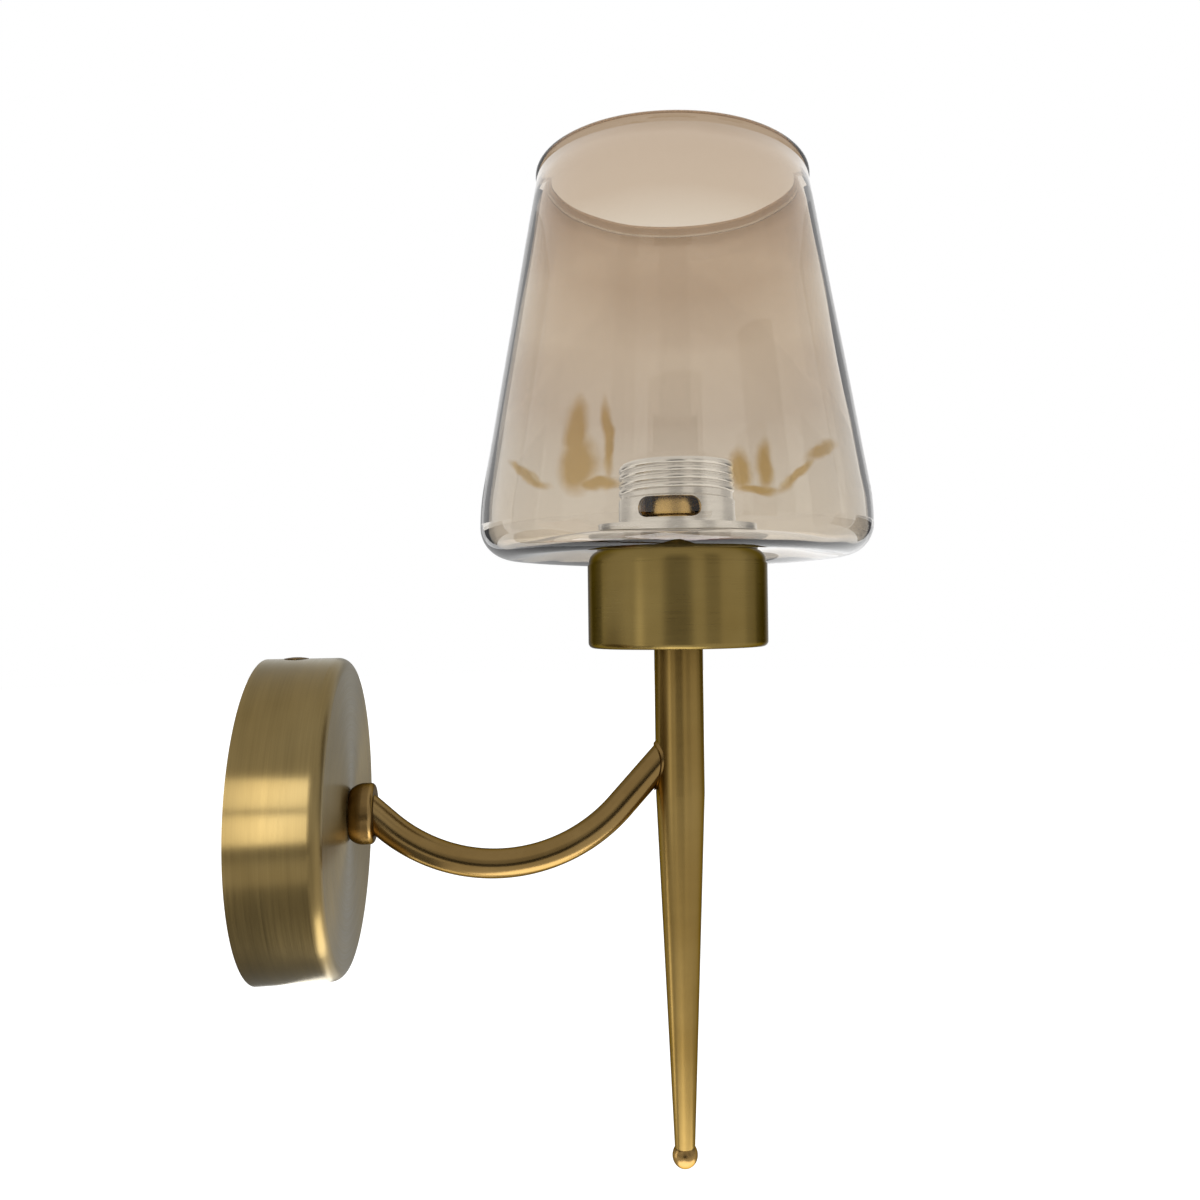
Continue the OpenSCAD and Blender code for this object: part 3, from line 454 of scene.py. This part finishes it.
def glassProfile(g):
    # up the outside from the hole's lower edge, over the bead and down the inside
    centreR, centreZ = g["widestR"] - g["cornerR"], g["footZ"] + g["cornerR"]
    wall, slope = g["wall"], tan(radians(g["lean"]))
    bead = g["beadH"] / 2
    shoulderCentre = g["widestR"] - g["shoulderR"]
    innerR = g["rimR"] + g["beadOut"] - g["beadW"]
    fade = g["beadFade"] * g["beadH"]
    foot = -g["footTurn"]
    sideStart = arcPoints(shoulderCentre, centreZ, g["shoulderR"], 0, g["lean"], 10)[1:]
    outerTop = (g["rimR"] + g["beadH"] * slope, g["rimZ"] - g["beadH"])
    innerTop = (g["rimR"] - wall + fade * slope, g["rimZ"] - fade)
    innerSide = arcPoints(shoulderCentre, centreZ, g["shoulderR"] - wall, g["lean"], 0, 10)
    outer = (
        swell(g["flatR"], g["flatZ"], centreR, g["footZ"], 14)
        + arcPoints(centreR, centreZ, g["cornerR"], foot, 0, 16)
        + sideStart + straightLine(sideStart[-1], outerTop, 12)
        + arcPoints(g["rimR"] + g["beadOut"] - bead, g["rimZ"] - bead, bead, -60, 90, 10)
    )
    inner = (
        arcPoints(innerR + bead, g["rimZ"] - bead, bead, 90, 180, 7)[1:]
        + straightLine((innerR, g["rimZ"] - bead), innerTop, 3)
        + straightLine(innerTop, innerSide[0], 11)[:-1]
        + innerSide
        + arcPoints(centreR, centreZ, g["cornerR"] - wall, -7, foot, 12)
        + swell(centreR, g["footZ"] + wall, g["flatR"], g["flatZ"] + wall, 14)
    )
    return [(g["holeR"], g["flatZ"])] + outer + inner + [(g["holeR"], g["flatZ"] + wall)]


def paintedReflectionMask(tree, vector, g):
    # how much painted amber reflection of the brass lies at a point of the wall, 0 to 1
    wander = addNode(tree, "ShaderNodeTexNoise", Scale=110.0, Detail=2.0)
    tree.links.new(vector, wander.inputs["Vector"])
    warped = addNode(tree, "ShaderNodeVectorMath", operation="MULTIPLY_ADD")
    warped.inputs[1].default_value = (g["reflectionWander"] * mm,) * 3
    tree.links.new(wander.outputs["Color"], warped.inputs[0])
    tree.links.new(vector, warped.inputs[2])
    halfWander = Vector((g["reflectionWander"] / 2 * mm,) * 3)
    upright = Vector((0, 0, 1))
    full, gone = g["reflectionSoft"]
    total = None
    for x, y, z, halfW, halfH, tilt in g["paintedReflections"]:
        out = Vector((x - stemX, y, 0)).normalized()
        across = Vector((-out.y, out.x, 0))
        t = radians(tilt)
        wide, tall = cos(t) * across + sin(t) * upright, cos(t) * upright - sin(t) * across
        shifted = addNode(tree, "ShaderNodeVectorMath", operation="SUBTRACT")
        shifted.inputs[1].default_value = Vector((x, y, z)) * mm + halfWander
        tree.links.new(warped.outputs[0], shifted.inputs[0])
        local = addNode(tree, "ShaderNodeCombineXYZ")
        for i, axis in enumerate((wide / halfW, tall / halfH, out / g["reflectionDepth"])):
            dot = addNode(tree, "ShaderNodeVectorMath", operation="DOT_PRODUCT")
            dot.inputs[1].default_value = axis / mm
            tree.links.new(shifted.outputs[0], dot.inputs[0])
            tree.links.new(dot.outputs["Value"], local.inputs[i])
        distance = addNode(tree, "ShaderNodeVectorMath", operation="LENGTH")
        tree.links.new(local.outputs[0], distance.inputs[0])
        part = spread(tree, distance.outputs["Value"], 1.0, 0.0, full, gone)
        if total:
            larger = addNode(tree, "ShaderNodeMath", operation="MAXIMUM")
            tree.links.new(total, larger.inputs[0])
            tree.links.new(part, larger.inputs[1])
            part = larger.outputs[0]
        total = part
    return total


def tintedGlass(g):
    material, tree, shader = newMaterial("tintedGlass")
    vector = objectCoords(tree)
    height = addNode(tree, "ShaderNodeSeparateXYZ")
    tree.links.new(vector, height.inputs[0])
    rise = spread(tree, height.outputs["Z"], 0.0, 1.0, g["tintFoot"] * mm, g["rimZ"] * mm)
    cloud = noise(tree, vector, 16.0, 2.0, 0.5)
    level = addNode(tree, "ShaderNodeMath", operation="MULTIPLY_ADD")
    level.inputs[1].default_value = g["cloud"]
    tree.links.new(cloud, level.inputs[0])
    tree.links.new(rise, level.inputs[2])
    colour = ramp(tree, level.outputs[0], g["tint"])
    # the painted reflections of the brass, amber, mixed into the tint
    reflectionTinted = blendColours(tree, 1.0, colour, g["amber"], "MULTIPLY")
    colour = blendColours(tree, paintedReflectionMask(tree, vector, g), colour, reflectionTinted)
    tree.links.new(colour, shader.inputs["Base Color"])
    roughLevel = spread(tree, noise(tree, vector, 220.0, 2.0, 0.5), 0.0, 0.02)
    tree.links.new(roughLevel, shader.inputs["Roughness"])
    shader.inputs["Transmission Weight"].default_value = 1.0
    shader.inputs["IOR"].default_value = g["ior"]
    bumps(tree, shader, [(noise(tree, vector, 30.0, 1.0, 0.4), 0.15, 0.25)])
    depth = addNode(tree, "ShaderNodeVolumeAbsorption")
    depth.inputs["Color"].default_value = (*g["body"], 1)
    depth.inputs["Density"].default_value = g["bodyDensity"]
    tree.links.new(depth.outputs[0], tree.nodes["Material Output"].inputs["Volume"])
    return material


def makeShade(g):
    piece = raiseRings(glassProfile(g), g["sides"])
    finishMesh(piece, "blownShade", 60)
    waves = bpy.data.textures.new("blownWaves", "CLOUDS")
    waves.noise_scale = g["rippleSize"] * mm
    waves.noise_depth = 1
    uneven = piece.modifiers.new("uneven", "DISPLACE")
    uneven.texture = waves
    uneven.texture_coords = "LOCAL"
    uneven.strength = g["ripple"] * mm
    uneven.mid_level = 1.0
    applyAll(piece)
    piece.data.materials.append(tintedGlass(g))
    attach(piece, "shade")
    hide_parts("glass_shade")
    piece.visible_glossy = False    # mirrored in the arm, the glass only makes dark specks


makeShade(blownGlass)
print("glass shade made")


barrel = {
    "foot": 80.6, "top": 112.6, "outerR": 19.6, "wall": 1.2,
    "flangeR": 21.4, "flangeH": 2.0,
    "lipR": 17.0, "lipT": 1.0,
    "edge": 0.3, "topEdge": 0.5,           # softened edges
    "threadLow": 101.0, "runIn": 0.6,      # the sleeve narrows to the thread's root over this height
    "rootR": 18.85, "rootBite": 0.2,       # the ridge starts this deep in the root
    "pitch": 2.57, "turns": 4, "ridge": 0.44, "threadLift": 0.9,
    "windowW": 20.6, "windowH": 7.0, "windowZ": 96.7,
    "windowTurn": 17.0,                    # the first window, from the front towards the wall
    "windows": 3, "windowReach": 10.0,
    "windowRound": 0.999, "windowSegments": 10,    # the ends' rounding, as a share of half the height
    "sides": 144, "threadSteps": 96, "ridgeSides": 12,
}


def makeWindowCutter(b):
    # a block with round ends for each window, turned to its place round the stem's axis
    x = stemX * mm
    blocks = []
    for i in range(b["windows"]):
        clearSelection()
        place = (x + b["outerR"] * mm, 0, b["windowZ"] * mm)
        bpy.ops.mesh.primitive_cube_add(size=1, location=place)
        block = bpy.context.active_object
        editAll()
        size = (b["windowReach"] * mm, b["windowW"] * mm, b["windowH"] * mm)
        bpy.ops.transform.resize(value=size)
        bpy.ops.mesh.select_all(action="DESELECT")
        bpy.ops.object.mode_set(mode="OBJECT")
        for edge in block.data.edges:
            a, c = (block.data.vertices[v].co for v in edge.vertices)
            edge.select = abs(a.x - c.x) > b["windowReach"] / 2 * mm
        bpy.ops.object.mode_set(mode="EDIT")
        bpy.ops.mesh.bevel(offset=b["windowH"] / 2 * mm * b["windowRound"],
                           segments=b["windowSegments"], affect="EDGES")
        bpy.ops.object.mode_set(mode="OBJECT")
        angle = radians(-90 - b["windowTurn"] + 360 / b["windows"] * i)
        block.matrix_world = (
            Matrix.Translation((x, 0, 0)) @ Matrix.Rotation(angle, 4, "Z")
            @ Matrix.Translation((-x, 0, 0)) @ block.matrix_world)
        bakePlace()
        blocks.append(block)
    return finishMesh(joinPieces(blocks), "windowCutter")


def makeThread(b):
    # one rounded ridge, wound up the barrel by the Screw modifier
    clearSelection()
    bpy.ops.mesh.primitive_circle_add(vertices=b["ridgeSides"], radius=1 * mm, location=(0, 0, 0),
                                      rotation=(pi / 2, 0, 0))
    ridge = bpy.context.active_object
    bakePlace()
    editAll()
    depth, height = b["outerR"] - b["rootR"] + b["rootBite"], b["pitch"] * b["ridge"]
    bpy.ops.transform.resize(value=(depth, 1, height), center_override=(0, 0, 0))
    bpy.ops.transform.translate(value=((b["rootR"] - b["rootBite"]) * mm, 0, 0))
    bpy.ops.object.mode_set(mode="OBJECT")
    wind = ridge.modifiers.new("wind", "SCREW")
    wind.angle, wind.screw_offset, wind.iterations = 2 * pi, b["pitch"] * mm, b["turns"]
    wind.steps = wind.render_steps = b["threadSteps"]
    wind.use_merge_vertices = False
    applyAll(ridge)
    editAll()
    bpy.ops.mesh.remove_doubles(threshold=mergeGap)
    bpy.ops.mesh.fill_holes(sides=0)
    bpy.ops.object.mode_set(mode="OBJECT")
    ridge.location = (stemX * mm, 0, (b["threadLow"] + b["threadLift"]) * mm)
    return finishMesh(ridge, "barrelThread")


def makeBarrel(b):
    inner, outer, edge = b["outerR"] - b["wall"], b["outerR"], b["edge"]
    flangeR, flangeTop = b["flangeR"], b["foot"] + b["flangeH"]
    points = [
        (inner, b["foot"]), (flangeR - edge, b["foot"]), (flangeR, b["foot"] + edge),
        (flangeR, flangeTop - edge), (flangeR - edge, flangeTop),
        (outer + edge, flangeTop), (outer, flangeTop + edge),
        (outer, b["threadLow"] - b["runIn"]), (b["rootR"], b["threadLow"]),
        (b["rootR"], b["top"] - b["topEdge"]), (b["rootR"] - b["topEdge"], b["top"]),
        (b["lipR"], b["top"]), (b["lipR"], b["top"] - b["lipT"]), (inner, b["top"] - b["lipT"]),
    ]
    sleeve = raiseRings(points, b["sides"])
    finishMesh(sleeve, "barrelSleeve")
    cutter = makeWindowCutter(b)
    cutAway(sleeve, cutter, "windows")
    applyAll(sleeve)
    bpy.data.objects.remove(cutter)
    joinPieces([sleeve, makeThread(b)])
    finishMesh(sleeve, "threadedBarrel", 40)
    sleeve.data.materials.clear()
    sleeve.data.materials.append(materials["holder"])
    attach(sleeve, "lamp")
    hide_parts("lampholder_barrel")


makeBarrel(barrel)
print("threaded barrel made")


armTube = {
    "outerR": 4.8, "wall": 1.0,
    "leadIn": 5.8,         # straight start, from the collar's axis to the bend
    "bendR": 53.2,
    "slope": 47.2,         # of the straight end up to the stem
    "axisCrossX": 32.0,    # where the arm's middle crosses the collar's axis
    "cutX": 31.2,          # the slanting start is cut upright here, inside the collar
    "stemR": 8.25,         # the end is cut to the stem's round
    "spare": 9.6,          # extra length at the start, taken off by the cut
    "sides": 96, "bendSteps": 120,
    "cutterSize": 40.0, "stemCutterSides": 192, "stemCutterL": 80.0, "stemCutterZ": 25.0,
}


def sweepArm(a):
    # one circle pushed along the straight start, spun through a right angle and pushed up to the stem
    start, slope = pi / 2 - radians(a["slope"]), radians(a["slope"])
    down = Vector((cos(start), 0, -sin(start)))
    first = Vector((a["axisCrossX"], 0, 0)) - down * a["spare"]
    bendX = a["axisCrossX"] + a["leadIn"] * cos(start) + a["bendR"] * sin(start)
    bendZ = a["bendR"] * cos(start) - a["leadIn"] * sin(start)
    rise = (stemX - bendX - a["bendR"] * sin(slope)) / cos(slope)
    clearSelection()
    bpy.ops.mesh.primitive_circle_add(vertices=a["sides"], radius=a["outerR"] * mm,
                                      location=first * mm, rotation=(0, pi / 2 + start, 0))
    tube = bpy.context.active_object
    bakePlace()
    editAll()
    length = (a["spare"] + a["leadIn"]) * mm
    bpy.ops.mesh.extrude_region_move(TRANSFORM_OT_translate={"value": down * length})
    bpy.ops.mesh.spin(steps=a["bendSteps"], angle=pi / 2, center=(bendX * mm, 0, bendZ * mm),
                      axis=(0, 1, 0))
    up = Vector((cos(slope), 0, sin(slope))) * rise * mm
    bpy.ops.mesh.extrude_region_move(TRANSFORM_OT_translate={"value": up})
    bpy.ops.mesh.select_all(action="SELECT")
    bpy.ops.mesh.remove_doubles(threshold=mergeGap)
    bpy.ops.mesh.normals_make_consistent(inside=False)
    bpy.ops.object.mode_set(mode="OBJECT")
    skin = tube.modifiers.new("wall", "SOLIDIFY")
    skin.thickness, skin.offset = a["wall"] * mm, -1
    applyAll(tube)
    return tube


def makeArm(a):
    tube = sweepArm(a)
    size = a["cutterSize"]
    clearSelection()
    bpy.ops.mesh.primitive_cube_add(size=size * mm, location=((a["cutX"] - size / 2) * mm, 0, 0))
    startCutter = bpy.context.active_object
    clearSelection()
    bpy.ops.mesh.primitive_cylinder_add(vertices=a["stemCutterSides"], radius=a["stemR"] * mm,
                                        depth=a["stemCutterL"] * mm,
                                        location=(stemX * mm, 0, a["stemCutterZ"] * mm))
    stemCutter = bpy.context.active_object
    cutAway(tube, startCutter, "start")
    cutAway(tube, stemCutter, "saddle")
    applyAll(tube)
    bpy.data.objects.remove(startCutter)
    bpy.data.objects.remove(stemCutter)
    finishMesh(tube, "bentArm", 40)    # not selected here, so its faces stay flat
    tube.data.materials.append(materials["arm"])
    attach(tube, "lamp")
    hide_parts("arm_tube")


makeArm(armTube)
print("bent arm made")


studio = {
    "floorZ": -460.0, "floorR": 9000.0, "floorSides": 96,
    "floorColour": 0.80,
    "floorGlow": 0.6,     # what camera, reflections and glass see of the floor, beside its own light
    "worldFill": 0.85,    # what lights the sconce from all round
}

# cards that stand round the stem: azimuth (0 is the front, positive to the right), distance, width,
# foot, top, and how light a grey they are
standingCards = {
    "frontCard": (-9.5, 560, 260, -40, 380, 0.60),
    "rightCard": (34, 520, 180, -40, 380, 0.58),
    "sideRightCard": (91, 430, 140, -40, 115, 0.65),
    "farRightCard": (117, 420, 230, -40, 115, 0.18),
    "farLeftCard": (-133, 420, 230, -40, 115, 0.18),
    "glassRightCard": (112, 425, 330, 118, 420, 0.70),
    "glassLeftCard": (-128, 425, 330, 118, 420, 0.70),
    "lensCard": (-9.5, 500, 330, -135, 55, 0.05),
}

# cards given one by one: place, the point they face, width, height, grey
handCards = {
    "backCard": ((95, 420, -60), (25, 0, 0), 320, 500, 0.50),
    "underPlateCard": ((-15, -55, -100), (-15, -55, 0), 80, 250, 0.28),
    "barnDoor": ((28, -74, 20), (0, -74, 20), 44, 100, 0.9),    # keeps the plate lamps off the stem
}

# strip lamps: place, the point they face, width, height, radiance
stripLamps = {
    "plateLampHigh": ((2, -93, 38), (12, -50, 14), 26, 26, 6.8),
    "plateLampLow": ((2, -93, 8.5), (12, -50, 5), 26, 23, 7.0),
    "underLamp": ((125, -28, -175), (105, 0, -24), 160, 110, 4.8),
    "stemLamp": ((32, 12, -97), (132, 12, -25), 24, 105, 3.0),
}


def seenDirectly(tree):
    # 1 for camera rays and for what metal and glass show, 0 for the light itself
    path = addNode(tree, "ShaderNodeLightPath")
    first = addNode(tree, "ShaderNodeMath", operation="MAXIMUM")
    second = addNode(tree, "ShaderNodeMath", operation="MAXIMUM")
    tree.links.new(path.outputs["Is Camera Ray"], first.inputs[0])
    tree.links.new(path.outputs["Is Glossy Ray"], first.inputs[1])
    tree.links.new(first.outputs[0], second.inputs[0])
    tree.links.new(path.outputs["Is Transmission Ray"], second.inputs[1])
    return second.outputs[0]


def makeFloor(s):
    clearSelection()
    bpy.ops.mesh.primitive_circle_add(vertices=s["floorSides"], radius=s["floorR"] * mm,
                                      location=(0, 0, s["floorZ"] * mm), fill_type="NGON")
    floor = bpy.context.active_object
    floor.name = "studioFloor"
    bpy.ops.object.transform_apply(location=True)
    material, tree, shader = newMaterial("paleFloor")
    tree.nodes.remove(shader)
    strength = addNode(tree, "ShaderNodeMath", operation="MULTIPLY")
    strength.inputs[1].default_value = s["floorGlow"]
    tree.links.new(seenDirectly(tree), strength.inputs[0])
    diffuse = addNode(tree, "ShaderNodeBsdfDiffuse", Color=(s["floorColour"],) * 3 + (1,))
    glow = addNode(tree, "ShaderNodeEmission")
    tree.links.new(strength.outputs[0], glow.inputs["Strength"])
    both = addNode(tree, "ShaderNodeAddShader")
    tree.links.new(diffuse.outputs[0], both.inputs[0])
    tree.links.new(glow.outputs[0], both.inputs[1])
    tree.links.new(both.outputs[0], tree.nodes["Material Output"].inputs["Surface"])
    floor.data.materials.append(material)


def makeWorld(s):
    world = bpy.data.worlds.new("studio")
    world.use_nodes = True
    tree = world.node_tree
    level = spread(tree, seenDirectly(tree), s["worldFill"], 1.0, 0.0, 1.0)
    background = tree.nodes["Background"]
    background.inputs["Color"].default_value = (1, 1, 1, 1)
    tree.links.new(level, background.inputs["Strength"])
    bpy.context.scene.world = world


def turnTowards(away):
    return away.normalized().to_track_quat("Z", "Y")


def addCard(name, place, facing, width, height, grey):
    # a card that only reflections see
    clearSelection()
    bpy.ops.mesh.primitive_plane_add(size=1)
    card = bpy.context.active_object
    card.name = name
    turn = turnTowards(Vector(facing) - Vector(place)).to_matrix().to_4x4()
    size = Matrix.Diagonal((width * mm, height * mm, 1, 1))
    card.matrix_world = Matrix.Translation(Vector(place) * mm) @ turn @ size
    bakePlace()
    material, tree, shader = newMaterial(name + "Card")
    tree.nodes.remove(shader)
    paint = addNode(tree, "ShaderNodeEmission", Strength=grey)
    tree.links.new(paint.outputs[0], tree.nodes["Material Output"].inputs["Surface"])
    material.cycles.emission_sampling = "NONE"
    card.data.materials.append(material)
    card.visible_camera = card.visible_diffuse = False
    card.visible_transmission = card.visible_shadow = False


def standCard(name, azimuth, distance, width, foot, top, grey):
    a, middle = radians(azimuth), (foot + top) / 2
    place = (stemX + distance * sin(a), -distance * cos(a), middle)
    addCard(name, place, (stemX, 0, middle), width, top - foot, grey)


def hangLamp(name, place, facing, width, height, radiance):
    data = bpy.data.lights.new(name, "AREA")
    data.shape = "RECTANGLE"
    data.size, data.size_y = width * mm, height * mm
    data.energy = radiance * width * height * mm * mm * pi
    lamp = bpy.data.objects.new(name, data)
    bpy.context.scene.collection.objects.link(lamp)
    lamp.location = Vector(place) * mm
    lamp.rotation_mode = "QUATERNION"
    lamp.rotation_quaternion = turnTowards(Vector(place) - Vector(facing))
    lamp.visible_camera = False
    lamp.visible_transmission = False


makeFloor(studio)
makeWorld(studio)
for name, values in standingCards.items():
    standCard(name, *values)
for name, values in handCards.items():
    addCard(name, *values)
for name, values in stripLamps.items():
    hangLamp(name, *values)
print("studio set:", len(standingCards) + len(handCards), "cards,", len(stripLamps), "lamps")

bpy.context.scene.view_settings.view_transform = "Standard"
